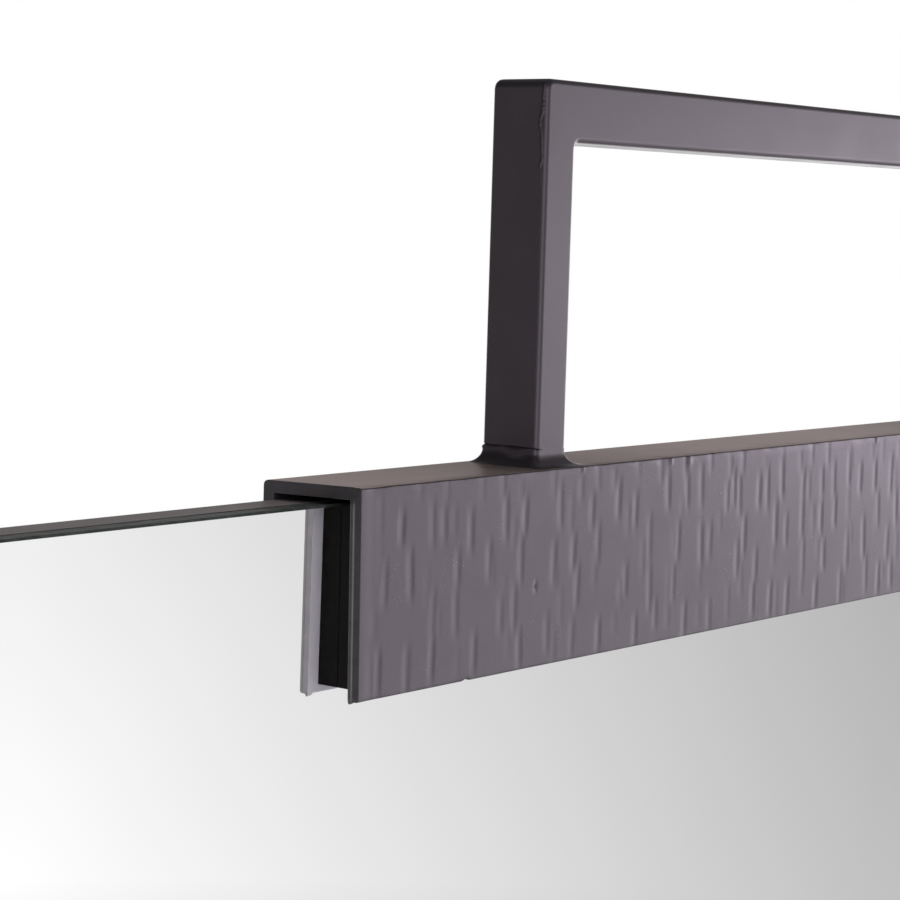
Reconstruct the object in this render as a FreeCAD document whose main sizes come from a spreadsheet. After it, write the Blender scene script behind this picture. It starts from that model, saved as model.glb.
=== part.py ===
import FreeCAD, Part

import os

import Sketcher

# A frameless mirror in a hammered iron header channel with a welded hoop on top.
# It hangs on a two-part aluminium cleat, one half on the wall and one on the backing board.
# Frame: X to the right, Y into the wall, Z up. The wall is the plane Y = 0 and the wall screws
# lie on Z = 0, so the origin is the middle of the wall screws' pattern. All sizes are in millimetres.

document = FreeCAD.newDocument("wall_mirror")

# ---------------------------------------------------------------------------------------
# Driving dimensions

SIZES = (
    ("glass_width", 610, "24 in sheet"),
    ("glass_height", 914, "36 in sheet"),
    ("glass_thickness", 5, "float glass"),
    ("glass_arris", 0.8, "flat ground on every edge"),
    ("tape_thickness", 0.8, "foam bond between glass and board"),
    ("tape_width", 25, ""),
    ("tape_inset", 30, "from the sheet's edges"),
    ("board_thickness", 9, "painted fibreboard"),
    ("wall_gap", 10, "board's back to the wall"),
    ("channel_length", 400, "front plate"),
    ("channel_skew", 4.5, "each end runs out by this much towards the back"),
    ("channel_height", 50, "front plate"),
    ("channel_depth", 26.5, "outside, front to back"),
    ("channel_leg", 46, "back leg, from the top"),
    ("channel_plate", 3, "iron plate"),
    ("channel_flare", 0.55, "front plate leans out at its foot"),
    ("channel_round", 1.2, "outer bend"),
    ("channel_top", 150, "top plate above the wall screws"),
    ("leg_clearance", 0.1, "back leg to board"),
    ("setting_gap", 1.55, "top plate to the sheet's top edge"),
    ("setting_length", 40, "rubber setting pad"),
    ("setting_spread", 100, "pad centre from the middle"),
    ("setting_inset", 1, "pad's long edges from the sheet's faces"),
    ("pad_clearance", 0.1, "front pad to glass"),
    ("pad_inset", 3, "front pad from the channel's ends"),
    ("pad_below_top", 5, "front pad's top from the channel's top"),
    ("pad_above_foot", 2, "front pad's foot from the plate's foot"),
    ("hoop_inset", 73, "hoop's side from the channel's end"),
    ("hoop_inner_height", 82.2, "channel's top to the rail's underside"),
    ("post_width", 13, ""),
    ("bar_depth", 17.5, ""),
    ("rail_height", 15.6, ""),
    ("bar_round", 2, "edges of the hoop's bars"),
    ("weld_side", 5.5, "weld on the posts' sides"),
    ("weld_front", 3.8, "weld in front of and behind the posts"),
    ("weld_rise", 5, ""),
    ("weld_lip", 0.4, "weld's upper edge"),
    ("cleat_plate", 2.5, "aluminium section"),
    ("cleat_foot", 12, "wall cleat's lower edge below its screws"),
    ("cleat_seat", 13, "height of the seat in the wall cleat"),
    ("cleat_hook", 12, "how far the two lips overlap"),
    ("cleat_play", 0.8, "between the two lips"),
    ("cleat_nib", 0.5, "wall lip's tip below the upper web"),
    ("lip_to_wall", 1.5, "mirror lip's back to the wall"),
    ("cleat_base", 24, "mirror cleat's flat base"),
    ("cleat_screw_up", 13, "mirror cleat's screws above its web"),
    ("wall_cleat_length", 450, ""),
    ("mirror_cleat_length", 480, ""),
    ("stud_spacing", 406.4, "16 in between studs"),
    ("anchor_spacing", 152.4, "6 in between wall anchors"),
    ("wall_hole", 2.75, "radius, for a 5 mm screw"),
    ("bumper_radius", 11, ""),
    ("bumper_inset", 60, "from the sheet's side and foot"),
    ("bumper_recess", 4.5, "radius of the screw's recess"),
    ("bumper_floor", 4, "rubber under the screw's head"),
    ("bumper_taper", 1.5, "radius lost towards the wall"),
    ("channel_screw_drop", 30, "below the channel's top"),
    ("channel_screw_pitch", 100, "four in a row"),
    ("cleat_screw_pitch", 88, "six in a row"),
    ("screw_radius", 1.75, "shank"),
    ("screw_shank", 7.5, "in the board"),
    ("screw_point", 0.5, "radius of the tip"),
    ("screw_taper", 2, "length of the tip"),
    ("screw_head", 3.4, "head's radius"),
    ("screw_head_height", 2.2, ""),
    ("head_side", 1, "upright side of the head"),
    ("head_crown", 2.1, "radius of the head's flat crown"),
    ("screw_slot", 0.9, "width of the cross recess"),
    ("screw_slot_arm", 1.9, "half length of the cross recess"),
    ("screw_slot_depth", 1.2, ""),
    ("pilot_skin", 0.5, "board left in front of each pilot hole"),
    ("screw_play", 0.05, "round each shank"),
)

sheet = document.addObject("Spreadsheet::Sheet", "Sizes")
for row, (alias, size, note) in enumerate(SIZES, start=1):
    sheet.set(f"A{row}", alias)
    sheet.set(f"B{row}", str(size))
    sheet.set(f"C{row}", note)
    sheet.setAlias(f"B{row}", alias)
document.recompute()

# Places that follow from the driving dimensions
SHEET_TOP = "(Sizes.channel_top - Sizes.channel_plate - Sizes.setting_gap)"
SHEET_FOOT = f"({SHEET_TOP} - Sizes.glass_height)"
HALF_SHEET = "(Sizes.glass_width / 2)"
BOARD_BACK = "(0 - Sizes.wall_gap)"
BOARD_FRONT = f"({BOARD_BACK} - Sizes.board_thickness)"
GLASS_BACK = f"({BOARD_FRONT} - Sizes.tape_thickness)"
GLASS_FRONT = f"({GLASS_BACK} - Sizes.glass_thickness)"
CHANNEL_BACK = f"({BOARD_BACK} + Sizes.leg_clearance + Sizes.channel_plate)"
CHANNEL_FRONT = f"({CHANNEL_BACK} - Sizes.channel_depth)"
CHANNEL_MIDDLE = f"({CHANNEL_BACK} - Sizes.channel_depth / 2)"
CHANNEL_FOOT = "(Sizes.channel_top - Sizes.channel_height)"
PLATE_INSIDE = f"({CHANNEL_FRONT} + Sizes.channel_plate)"
POST_MIDDLE = "(Sizes.channel_length / 2 - Sizes.hoop_inset - Sizes.post_width / 2)"
LIP_BACK = "(0 - Sizes.lip_to_wall)"
LIP_FRONT = f"({LIP_BACK} - Sizes.cleat_plate)"
WALL_LIP_BACK = f"({LIP_FRONT} - Sizes.cleat_play)"
WALL_LIP_FRONT = f"({WALL_LIP_BACK} - Sizes.cleat_plate)"
UPPER_WEB = "(Sizes.cleat_seat + Sizes.cleat_hook + Sizes.cleat_nib)"
CLEAT_SCREWS = f"({UPPER_WEB} + Sizes.cleat_screw_up)"
BUMPER_X = f"({HALF_SHEET} - Sizes.bumper_inset)"
BUMPER_Z = f"({SHEET_FOOT} + Sizes.bumper_inset)"


def row_of(count, pitch):
    """Places of a row of evenly spaced screws, centred on X = 0."""
    return [f"({2 * index - count + 1} * {pitch} / 2)" for index in range(count)]


CHANNEL_SCREW_X = row_of(4, "Sizes.channel_screw_pitch")
CHANNEL_SCREW_Z = "(Sizes.channel_top - Sizes.channel_screw_drop)"
CLEAT_SCREW_X = row_of(6, "Sizes.cleat_screw_pitch")
SCREW_PLACES = (
    [("channel_screw", x, CHANNEL_BACK, CHANNEL_SCREW_Z) for x in CHANNEL_SCREW_X]
    + [("cleat_screw", x, f"({BOARD_BACK} + Sizes.cleat_plate)", CLEAT_SCREWS) for x in CLEAT_SCREW_X]
    + [
        ("bumper_screw", f"({side} * {BUMPER_X})", f"({BOARD_BACK} + Sizes.bumper_floor)", BUMPER_Z)
        for side in (-1, 1)
    ]
)

nodes = []


# ---------------------------------------------------------------------------------------
# Ways of making a body


def number(expression):
    """The value of an expression on the sheet, as a plain number."""
    return float(sheet.evalExpression(expression))


def new_body(label):
    """An empty body that will be written out under its label."""
    body = document.addObject("PartDesign::Body", label)
    body.Label = label
    nodes.append(body)
    return body


def place(body, x="0", y="0", z="0"):
    """Bind a body's position to the sheet."""
    for axis, expression in zip("xyz", (x, y, z)):
        body.setExpression(f".Placement.Base.{axis}", expression)


def new_sketch(body, name, plane):
    """An empty sketch on one of the body's own origin planes."""
    sketch = body.newObject("Sketcher::SketchObject", name)
    support = next(feature for feature in body.Origin.OriginFeatures if feature.Role == plane)
    sketch.AttachmentSupport = (support, "")
    sketch.MapMode = "FlatFace"
    return sketch


def hold_point(sketch, element, end, across, up):
    """Fix one point of a sketch by two expressions."""
    for kind, expression in (("DistanceX", across), ("DistanceY", up)):
        rule = Sketcher.Constraint(kind, -1, 1, element, end, number(expression))
        index = sketch.addConstraint(rule)
        sketch.setExpression(f"Constraints[{index}]", expression)


def draw_polygon(sketch, corners):
    """A closed outline whose corners are pairs of expressions."""
    points = [FreeCAD.Vector(number(across), number(up), 0) for across, up in corners]
    first = sketch.GeometryCount
    for start, end in zip(points, points[1:] + points[:1]):
        sketch.addGeometry(Part.LineSegment(start, end))
    for index, (across, up) in enumerate(corners):
        following = (index + 1) % len(corners)
        sketch.addConstraint(Sketcher.Constraint("Coincident", first + index, 2, first + following, 1))
        hold_point(sketch, first + index, 1, across, up)


def draw_circle(sketch, across, up, radius):
    """A circle with its centre and radius bound to expressions."""
    centre = FreeCAD.Vector(number(across), number(up), 0)
    circle = sketch.addGeometry(Part.Circle(centre, FreeCAD.Vector(0, 0, 1), number(radius)))
    hold_point(sketch, circle, 3, across, up)
    index = sketch.addConstraint(Sketcher.Constraint("Radius", circle, number(radius)))
    sketch.setExpression(f"Constraints[{index}]", radius)


def rectangle(left, right, low, high):
    """The four corners of a rectangle, anticlockwise."""
    return [(left, low), (right, low), (right, high), (left, high)]


def pad(body, sketch, length, symmetric=False):
    """Pad a sketch along its normal, or half to each side."""
    feature = body.newObject("PartDesign::Pad", "Pad")
    feature.Profile = sketch
    feature.setExpression("Length", length)
    if symmetric:
        feature.SideType = "Symmetric"
    document.recompute()
    return feature


def pocket(body, sketch, depth, reverse=False):
    """Cut a sketch into the body, and make sure that it cuts."""
    before = body.Shape.Volume
    feature = body.newObject("PartDesign::Pocket", "Pocket")
    feature.Profile = sketch
    feature.setExpression("Length", depth)
    feature.Reversed = reverse
    document.recompute()
    if body.Shape.Volume >= before:
        raise RuntimeError(f"{body.Label}: a pocket cuts nothing")
    return feature


def dress(body, kind, base, wanted, size_name, size):
    """Round or chamfer the edges of a feature that a test picks out."""
    chosen = [f"Edge{index}" for index, edge in enumerate(base.Shape.Edges, start=1) if wanted(edge)]
    if not chosen:
        raise RuntimeError(f"{body.Label}: no edge to dress")
    feature = body.newObject(f"PartDesign::{kind}", kind)
    feature.Base = (base, chosen)
    feature.setExpression(size_name, size)
    document.recompute()
    return feature


def runs_along(edge, axis):
    """Whether a straight edge is parallel to an axis."""
    if not isinstance(edge.Curve, Part.Line):
        return False
    return abs(abs(edge.Curve.Direction.dot(axis)) - 1) < 1e-6


X_AXIS = FreeCAD.Vector(1, 0, 0)
Z_AXIS = FreeCAD.Vector(0, 0, 1)


def flat_piece(label, corners, back, thickness):
    """A flat piece that stands upright: its back lies at the given Y and it is padded forwards."""
    body = new_body(label)
    outline = new_sketch(body, "Outline", "XZ_Plane")
    draw_polygon(outline, corners)
    place(body, y=back)
    return body, pad(body, outline, thickness)


def section_piece(label, corners, length):
    """A piece of constant section, drawn as Y against Z and padded both ways along X."""
    body = new_body(label)
    section = new_sketch(body, "Section", "YZ_Plane")
    draw_polygon(section, corners)
    return body, pad(body, section, length, symmetric=True)


def upright_piece(label, corners, height, x="0", z="0"):
    """A piece drawn in plan and padded upwards."""
    body = new_body(label)
    plan = new_sketch(body, "Plan", "XY_Plane")
    draw_polygon(plan, corners)
    place(body, x=x, z=z)
    return body, pad(body, plan, height)


# ---------------------------------------------------------------------------------------
# The sheet: glass, bond and board


def make_glass():
    """Silvered float glass with a narrow flat ground along every long edge."""
    corners = rectangle(f"(0 - {HALF_SHEET})", HALF_SHEET, SHEET_FOOT, SHEET_TOP)
    body, sheet_pad = flat_piece("mirror_glass", corners, GLASS_BACK, "Sizes.glass_thickness")
    half = number("Sizes.glass_thickness") / 2
    middle = -half
    dress(
        body,
        "Chamfer",
        sheet_pad,
        lambda edge: abs(abs(edge.CenterOfMass.y - middle) - half) < 1e-6,
        "Size",
        "Sizes.glass_arris",
    )


def make_tapes():
    """Upright strips of foam tape that bond the glass to the board."""
    low = f"({SHEET_FOOT} + Sizes.tape_inset)"
    high = f"({SHEET_TOP} - Sizes.tape_inset)"
    spread = f"({HALF_SHEET} - Sizes.tape_inset - Sizes.tape_width / 2)"
    for name, side in (("left", -1), ("centre", 0), ("right", 1)):
        left = f"({side} * {spread} - Sizes.tape_width / 2)"
        right = f"({side} * {spread} + Sizes.tape_width / 2)"
        strip = rectangle(left, right, low, high)
        flat_piece(f"bond_tape_{name}", strip, BOARD_FRONT, "Sizes.tape_thickness")


def make_board():
    """Painted fibreboard as large as the glass, with a pilot hole for each screw."""
    corners = rectangle(f"(0 - {HALF_SHEET})", HALF_SHEET, SHEET_FOOT, SHEET_TOP)
    body, _ = flat_piece("backing_board", corners, BOARD_BACK, "Sizes.board_thickness")
    pilots = new_sketch(body, "Pilots", "XZ_Plane")
    for _, x, _, z in SCREW_PLACES:
        draw_circle(pilots, x, z, "Sizes.screw_radius + Sizes.screw_play")
    pocket(body, pilots, "Sizes.board_thickness - Sizes.pilot_skin", reverse=True)


# ---------------------------------------------------------------------------------------
# The header: channel, pads and hoop


def make_channel():
    """One plate bent to an inverted U. The front plate leans out a little towards its foot."""
    foot_front = f"({CHANNEL_FRONT} - Sizes.channel_flare)"
    leg_foot = "(Sizes.channel_top - Sizes.channel_leg)"
    leg_inside = f"({CHANNEL_BACK} - Sizes.channel_plate)"
    under_top = "(Sizes.channel_top - Sizes.channel_plate)"
    corners = [
        (foot_front, CHANNEL_FOOT),
        (f"({foot_front} + Sizes.channel_plate)", CHANNEL_FOOT),
        (PLATE_INSIDE, under_top),
        (leg_inside, under_top),
        (leg_inside, leg_foot),
        (CHANNEL_BACK, leg_foot),
        (CHANNEL_BACK, "Sizes.channel_top"),
        (CHANNEL_FRONT, "Sizes.channel_top"),
    ]
    blank = "Sizes.channel_length + 2 * Sizes.channel_skew + 2"
    body, bent = section_piece("header_channel", corners, blank)
    top = number("Sizes.channel_top")
    dress(
        body,
        "Fillet",
        bent,
        lambda edge: runs_along(edge, X_AXIS) and abs(edge.CenterOfMass.z - top) < 1e-6,
        "Radius",
        "Sizes.channel_round",
    )
    holes = new_sketch(body, "ScrewHoles", "XZ_Plane")
    for x in CHANNEL_SCREW_X:
        draw_circle(holes, x, CHANNEL_SCREW_Z, "Sizes.screw_radius + Sizes.screw_play")
    pocket(body, holes, "Sizes.wall_gap + Sizes.channel_plate", reverse=True)
    slope = "(Sizes.channel_skew / (Sizes.channel_depth + Sizes.channel_flare))"
    half = "Sizes.channel_length / 2"
    skewed = f"{half} + Sizes.channel_skew"
    before = f"({foot_front} - 1)"
    behind = f"({CHANNEL_BACK} + 1)"
    ends = new_sketch(body, "Ends", "XY_Plane")
    for side in (-1, 1):
        wedge = [
            (f"({side} * ({half} - {slope}))", before),
            (f"({side} * ({skewed} + 3))", before),
            (f"({side} * ({skewed} + 3))", behind),
            (f"({side} * ({skewed} + {slope}))", behind),
        ]
        draw_polygon(ends, wedge)
    pocket(body, ends, "Sizes.channel_top + 1", reverse=True)


def make_front_pad():
    """Felt strip glued inside the front plate. It follows the plate's lean and presses on the glass."""
    pad_top = "(Sizes.channel_top - Sizes.pad_below_top)"
    pad_foot = f"({CHANNEL_FOOT} + Sizes.pad_above_foot)"
    straight = "(Sizes.channel_height - Sizes.channel_plate)"
    lean = f"(Sizes.channel_flare / {straight})"

    def plate_face(z):
        return f"({PLATE_INSIDE} - {lean} * (Sizes.channel_top - Sizes.channel_plate - {z}))"

    glass_side = f"({GLASS_FRONT} - Sizes.pad_clearance)"
    corners = [
        (plate_face(pad_foot), pad_foot),
        (glass_side, pad_foot),
        (glass_side, pad_top),
        (plate_face(pad_top), pad_top),
    ]
    section_piece("front_pad", corners, "Sizes.channel_length - 2 * Sizes.pad_inset")


def make_setting_pads():
    """Rubber pads between the sheet's top edge and the channel's top plate."""
    front = f"({GLASS_FRONT} + Sizes.setting_inset)"
    back = f"({BOARD_BACK} - Sizes.setting_inset)"
    for name, side in (("left", -1), ("right", 1)):
        left = f"({side} * Sizes.setting_spread - Sizes.setting_length / 2)"
        right = f"({side} * Sizes.setting_spread + Sizes.setting_length / 2)"
        upright_piece(
            f"setting_pad_{name}",
            rectangle(left, right, front, back),
            "Sizes.setting_gap",
            z=SHEET_TOP,
        )


def around_post(leg_side, leg_front):
    """Plan of a post, grown by a leg at its sides and another in front and behind."""
    half_width = f"(Sizes.post_width / 2 + {leg_side})"
    half_depth = f"(Sizes.bar_depth / 2 + {leg_front})"
    return rectangle(
        f"(0 - {half_width})",
        half_width,
        f"({CHANNEL_MIDDLE} - {half_depth})",
        f"({CHANNEL_MIDDLE} + {half_depth})",
    )


def make_post(name, side):
    """Upright flat bar, its edges rounded."""
    body, bar = upright_piece(
        f"hoop_{name}_post",
        around_post("0", "0"),
        "Sizes.hoop_inner_height",
        x=f"{side} * {POST_MIDDLE}",
        z="Sizes.channel_top",
    )
    dress(body, "Fillet", bar, lambda edge: runs_along(edge, Z_AXIS), "Radius", "Sizes.bar_round")


def make_rail():
    """Top bar over both posts, its long edges and its upright corners rounded."""
    half_length = f"({POST_MIDDLE} + Sizes.post_width / 2)"
    body, bar = upright_piece(
        "hoop_rail",
        rectangle(
            f"(0 - {half_length})",
            half_length,
            f"({CHANNEL_MIDDLE} - Sizes.bar_depth / 2)",
            f"({CHANNEL_MIDDLE} + Sizes.bar_depth / 2)",
        ),
        "Sizes.rail_height",
        z="(Sizes.channel_top + Sizes.hoop_inner_height)",
    )
    dress(
        body,
        "Fillet",
        bar,
        lambda edge: edge.CenterOfMass.z > 1e-6,
        "Radius",
        "Sizes.bar_round",
    )


def make_weld(name, side):
    """Fillet weld that runs round a post's foot on the channel's top plate."""
    body = new_body(f"weld_{name}")
    toe = new_sketch(body, "Toe", "XY_Plane")
    draw_polygon(toe, around_post("Sizes.weld_side", "Sizes.weld_front"))
    lip = new_sketch(body, "Lip", "XY_Plane")
    draw_polygon(lip, around_post("Sizes.weld_lip", "Sizes.weld_lip"))
    lip.setExpression(".AttachmentOffset.Base.z", "Sizes.weld_rise")
    place(body, x=f"{side} * {POST_MIDDLE}", z="Sizes.channel_top")
    document.recompute()
    bead = body.newObject("PartDesign::AdditiveLoft", "Bead")
    bead.Profile = toe
    bead.Sections = [(lip, [""])]
    bead.Ruled = True
    document.recompute()
    core = new_sketch(body, "Core", "XY_Plane")
    draw_polygon(core, around_post("0", "0"))
    pocket(body, core, "2 * Sizes.weld_rise", reverse=True)


# ---------------------------------------------------------------------------------------
# The hanging: two cleats, bumpers and screws


def make_wall_cleat():
    """Aluminium section on the wall. Its upper lip stands off the wall to form a seat."""
    web_under = "(Sizes.cleat_seat - Sizes.cleat_plate)"
    lip_tip = "(Sizes.cleat_seat + Sizes.cleat_hook)"
    corners = [
        ("(0 - Sizes.cleat_plate)", "(0 - Sizes.cleat_foot)"),
        ("0", "(0 - Sizes.cleat_foot)"),
        ("0", "Sizes.cleat_seat"),
        (WALL_LIP_BACK, "Sizes.cleat_seat"),
        (WALL_LIP_BACK, lip_tip),
        (WALL_LIP_FRONT, lip_tip),
        (WALL_LIP_FRONT, web_under),
        ("(0 - Sizes.cleat_plate)", web_under),
    ]
    body, _ = section_piece("wall_cleat", corners, "Sizes.wall_cleat_length")
    holes = new_sketch(body, "WallHoles", "XZ_Plane")
    for spacing in ("Sizes.stud_spacing", "Sizes.anchor_spacing"):
        for side in (-1, 1):
            draw_circle(holes, f"{side} * {spacing} / 2", "0", "Sizes.wall_hole")
    pocket(body, holes, "2 * Sizes.cleat_plate", reverse=True)


def make_mirror_cleat():
    """The same kind of section upside down on the board. Its lip drops into the wall cleat's seat."""
    web_top = f"({UPPER_WEB} + Sizes.cleat_plate)"
    base_back = f"({BOARD_BACK} + Sizes.cleat_plate)"
    base_top = f"({UPPER_WEB} + Sizes.cleat_base)"
    corners = [
        (BOARD_BACK, UPPER_WEB),
        (LIP_FRONT, UPPER_WEB),
        (LIP_FRONT, "Sizes.cleat_seat"),
        (LIP_BACK, "Sizes.cleat_seat"),
        (LIP_BACK, web_top),
        (base_back, web_top),
        (base_back, base_top),
        (BOARD_BACK, base_top),
    ]
    body, _ = section_piece("mirror_cleat", corners, "Sizes.mirror_cleat_length")
    holes = new_sketch(body, "ScrewHoles", "XZ_Plane")
    for x in CLEAT_SCREW_X:
        draw_circle(holes, x, CLEAT_SCREWS, "Sizes.screw_radius + Sizes.screw_play")
    pocket(body, holes, "2 * Sizes.wall_gap", reverse=True)


def make_bumper(name, side):
    """Round rubber bumper that keeps the foot of the mirror off the wall, with a recess for its screw."""
    body = new_body(f"bumper_{name}")
    profile = new_sketch(body, "Profile", "XY_Plane")
    bore = "(Sizes.screw_radius + Sizes.screw_play)"
    corners = [
        (bore, BOARD_BACK),
        ("Sizes.bumper_radius", BOARD_BACK),
        ("(Sizes.bumper_radius - Sizes.bumper_taper)", "0"),
        ("Sizes.bumper_recess", "0"),
        ("Sizes.bumper_recess", f"({BOARD_BACK} + Sizes.bumper_floor)"),
        (bore, f"({BOARD_BACK} + Sizes.bumper_floor)"),
    ]
    draw_polygon(profile, corners)
    turned = body.newObject("PartDesign::Revolution", "Turned")
    turned.Profile = profile
    turned.ReferenceAxis = (profile, ["V_Axis"])
    turned.Angle = 360
    place(body, x=f"{side} * {BUMPER_X}", z=BUMPER_Z)
    document.recompute()


def make_screw(label, x, y, z):
    """Pan-head wood screw driven forwards. Its origin is the seat under the head."""
    body = new_body(label)
    profile = new_sketch(body, "Profile", "XY_Plane")
    tip = "(0 - Sizes.screw_shank)"
    corners = [
        ("0", tip),
        ("Sizes.screw_point", tip),
        ("Sizes.screw_radius", f"({tip} + Sizes.screw_taper)"),
        ("Sizes.screw_radius", "0"),
        ("Sizes.screw_head", "0"),
        ("Sizes.screw_head", "Sizes.head_side"),
        ("Sizes.head_crown", "Sizes.screw_head_height"),
        ("0", "Sizes.screw_head_height"),
    ]
    draw_polygon(profile, corners)
    turned = body.newObject("PartDesign::Revolution", "Turned")
    turned.Profile = profile
    turned.ReferenceAxis = (profile, ["V_Axis"])
    turned.Angle = 360
    document.recompute()
    recess = new_sketch(body, "CrossRecess", "XZ_Plane")
    long_half = "Sizes.screw_slot_arm"
    slot_half = "(Sizes.screw_slot / 2)"
    minus_long = f"(0 - {long_half})"
    minus_slot = f"(0 - {slot_half})"
    draw_polygon(
        recess,
        [
            (slot_half, slot_half),
            (slot_half, long_half),
            (minus_slot, long_half),
            (minus_slot, slot_half),
            (minus_long, slot_half),
            (minus_long, minus_slot),
            (minus_slot, minus_slot),
            (minus_slot, minus_long),
            (slot_half, minus_long),
            (slot_half, minus_slot),
            (long_half, minus_slot),
            (long_half, slot_half),
        ],
    )
    recess.setExpression(".AttachmentOffset.Base.z", "0 - Sizes.screw_head_height")
    document.recompute()
    pocket(body, recess, "Sizes.screw_slot_depth", reverse=True)
    place(body, x, y, z)


def make_screws():
    """One body for each screw, numbered from the left in its own group."""
    made = {}
    for group, x, y, z in SCREW_PLACES:
        made[group] = made.get(group, 0) + 1
        make_screw(f"{group}_{made[group]}", x, y, z)


# ---------------------------------------------------------------------------------------
# Build, check and write


def check_all():
    """Stop on any feature that failed, and on any piece that isn't a sound solid."""
    for item in document.Objects:
        if {"Invalid", "Error"} & set(item.State):
            raise RuntimeError(f"{item.Name} failed: {item.State}")
    for body in nodes:
        shape = body.Shape
        if shape.isNull() or not shape.isValid() or not shape.Solids:
            raise RuntimeError(f"{body.Label} is not a sound solid")


make_glass()
make_tapes()
make_board()
make_channel()
make_front_pad()
make_setting_pads()
for post_name, post_side in (("left", -1), ("right", 1)):
    make_post(post_name, post_side)
    make_weld(post_name, post_side)
make_rail()
make_wall_cleat()
make_mirror_cleat()
for bumper_name, bumper_side in (("left", -1), ("right", 1)):
    make_bumper(bumper_name, bumper_side)
make_screws()
document.recompute()
check_all()

os.makedirs("parts", exist_ok=True)
for node in nodes:
    node.Shape.exportStep(os.path.join("parts", f"{node.Label}.step"))
    box = node.Shape.BoundBox
    print(
        f"{node.Label:18s} x {box.XMin:8.2f} {box.XMax:8.2f}  y {box.YMin:7.2f} {box.YMax:7.2f}"
        f"  z {box.ZMin:8.2f} {box.ZMax:8.2f}  volume {node.Shape.Volume:10.1f}"
    )
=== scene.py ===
import math
import random

import bmesh
import bpy
import numpy
from mathutils import Matrix, Vector, noise


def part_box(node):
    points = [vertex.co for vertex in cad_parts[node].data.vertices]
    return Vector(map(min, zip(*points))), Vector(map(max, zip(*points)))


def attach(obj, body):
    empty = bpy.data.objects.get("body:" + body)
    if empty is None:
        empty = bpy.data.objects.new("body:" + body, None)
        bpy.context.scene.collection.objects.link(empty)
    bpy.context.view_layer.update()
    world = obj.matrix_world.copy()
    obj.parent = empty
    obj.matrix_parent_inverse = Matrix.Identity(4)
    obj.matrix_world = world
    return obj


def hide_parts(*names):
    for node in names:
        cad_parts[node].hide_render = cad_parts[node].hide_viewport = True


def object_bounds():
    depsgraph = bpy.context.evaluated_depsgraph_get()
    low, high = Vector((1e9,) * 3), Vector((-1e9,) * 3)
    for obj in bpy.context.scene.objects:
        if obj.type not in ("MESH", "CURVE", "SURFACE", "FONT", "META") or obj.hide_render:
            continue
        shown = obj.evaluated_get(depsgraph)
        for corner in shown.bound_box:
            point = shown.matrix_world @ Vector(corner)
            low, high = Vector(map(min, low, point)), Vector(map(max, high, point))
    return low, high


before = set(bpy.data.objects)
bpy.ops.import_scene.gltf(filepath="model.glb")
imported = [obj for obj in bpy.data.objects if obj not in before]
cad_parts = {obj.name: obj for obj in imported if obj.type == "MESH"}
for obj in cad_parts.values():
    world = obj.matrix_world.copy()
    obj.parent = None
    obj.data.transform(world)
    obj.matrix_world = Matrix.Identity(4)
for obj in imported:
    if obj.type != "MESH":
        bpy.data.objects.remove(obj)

cad_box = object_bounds()
MM = 0.001

# ---------------------------------------------------------------------------------------
# The wall cleat: a length of extruded aluminium, screwed flat to the wall.
# Its upper lip stands off the wall and makes the seat that the mirror hangs in.
# The die leaves fine lines along it, and the cut ends are deburred.


def add_node(material, kind, inputs, **options):
    """A shader node. Each input is given a value, or the output of another node."""
    node = material.node_tree.nodes.new(kind)
    for name, option in options.items():
        setattr(node, name, option)
    for name, source in inputs.items():
        if isinstance(source, bpy.types.NodeSocket):
            material.node_tree.links.new(source, node.inputs[name])
        else:
            node.inputs[name].default_value = source
    return node


def set_surface(material, **inputs):
    """Set or link the inputs of the material's surface shader. Underscores stand for spaces."""
    surface = material.node_tree.nodes["Principled BSDF"]
    for name, source in inputs.items():
        socket = surface.inputs[name.replace("_", " ")]
        if isinstance(source, bpy.types.NodeSocket):
            material.node_tree.links.new(source, socket)
        else:
            socket.default_value = source


def new_material(name):
    """An empty material that shades with one surface shader."""
    material = bpy.data.materials.new(name)
    material.use_nodes = True
    return material


def object_place(material):
    """Each point's own coordinates in metres, for patterns of real size."""
    return add_node(material, "ShaderNodeTexCoord", {}).outputs["Object"]


def grain(material, size, detail=4.0, stretch=(1.0, 1.0, 1.0), turn=(0.0, 0.0, 0.0), roughness=0.55):
    """Soft noise whose patches are about as wide as the given size, in metres."""
    stretched = add_node(
        material,
        "ShaderNodeMapping",
        {"Vector": object_place(material), "Scale": [size * part for part in stretch], "Rotation": turn},
        vector_type="TEXTURE",
    )
    patches = add_node(
        material,
        "ShaderNodeTexNoise",
        {"Vector": stretched.outputs["Vector"], "Scale": 1.0, "Detail": detail, "Roughness": roughness},
    )
    return patches.outputs["Fac"]


def between(material, factor, low, high, start=0.3, end=0.7):
    """A factor between start and end, turned into a number between low and high."""
    mapped = add_node(
        material,
        "ShaderNodeMapRange",
        {"Value": factor, "From Min": start, "From Max": end, "To Min": low, "To Max": high},
    )
    return mapped.outputs["Result"]


def two_tone(material, factor, first, second):
    """A colour that runs from the first to the second as the factor rises."""
    ramp = add_node(material, "ShaderNodeValToRGB", {"Fac": factor})
    ramp.color_ramp.elements[0].position = 0.3
    ramp.color_ramp.elements[0].color = (*first, 1)
    ramp.color_ramp.elements[1].position = 0.7
    ramp.color_ramp.elements[1].color = (*second, 1)
    return ramp.outputs["Color"]


def relief(material, height, depth, below=None):
    """Bump of the given real depth, over an earlier bump if there is one."""
    inputs = {"Height": height, "Strength": 1.0, "Distance": depth}
    if below is not None:
        inputs["Normal"] = below
    return add_node(material, "ShaderNodeBump", inputs).outputs["Normal"]


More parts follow.
